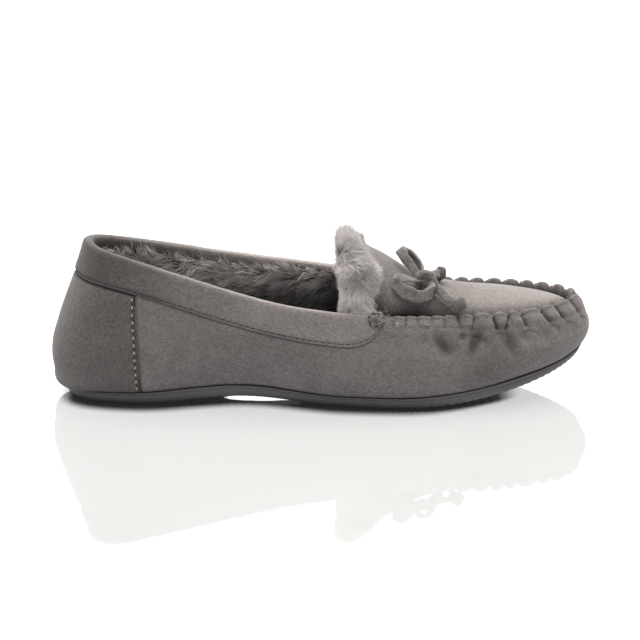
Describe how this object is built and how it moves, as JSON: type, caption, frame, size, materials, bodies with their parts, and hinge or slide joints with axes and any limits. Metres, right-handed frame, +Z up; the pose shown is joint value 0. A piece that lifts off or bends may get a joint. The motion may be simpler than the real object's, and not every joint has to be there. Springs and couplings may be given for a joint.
{
  "type": "house slipper",
  "caption": "Moccasin-style house slipper for the right foot, fleece lined, with a gathered toe seam, a folded collar, a fleece cuff, a lace bow and a thin rubber sole.",
  "frame": {"origin": "centre of the slipper's box seen from above, on the surface the sole rests on", "axes": "+X towards the toe, +Y towards the medial side of a right foot, +Z up"},
  "size_m": [0.2563, 0.0803, 0.0774],
  "materials": {
    "sole_rubber": "matt moulded rubber, fine pebble",
    "fibre_board": "pressed fibre board",
    "foam": "open-cell foam",
    "lining_fleece": "short-pile faux fur",
    "suede": "brushed faux suede",
    "heel_suede": "brushed faux suede, nap laid the other way",
    "stiffener_felt": "stiffened felt",
    "collar_suede": "brushed faux suede",
    "apron_suede": "brushed faux suede",
    "cuff_fleece": "long-pile faux fur",
    "thread": "twisted polyester thread",
    "lace_suede": "cut faux suede lace"
  },
  "bodies": {
    "root": {"outsole": "sole_rubber", "insole_board": "fibre_board", "footbed_foam": "foam", "insole_sock": "lining_fleece", "side_wall": "suede", "heel_panel": "heel_suede", "heel_stiffener": "stiffener_felt", "collar_band": "collar_suede", "collar_padding": "foam", "quarter_lining": "lining_fleece", "vamp_lining": "lining_fleece", "apron": "apron_suede", "apron_lining": "lining_fleece", "apron_cuff": "cuff_fleece", "moc_seam_thread": "thread", "collar_stitching": "thread", "heel_stitching_lateral": "thread", "heel_stitching_medial": "thread", "corner_tack_lateral": "lace_suede", "corner_tack_medial": "lace_suede", "bow_knot": "lace_suede", "lace_loop_lateral": "lace_suede", "lace_loop_medial": "lace_suede", "lace_tail_lateral": "lace_suede", "lace_tail_medial": "lace_suede", "tail_knot_lateral": "lace_suede", "tail_knot_medial": "lace_suede"}
  },
  "joints": []
}
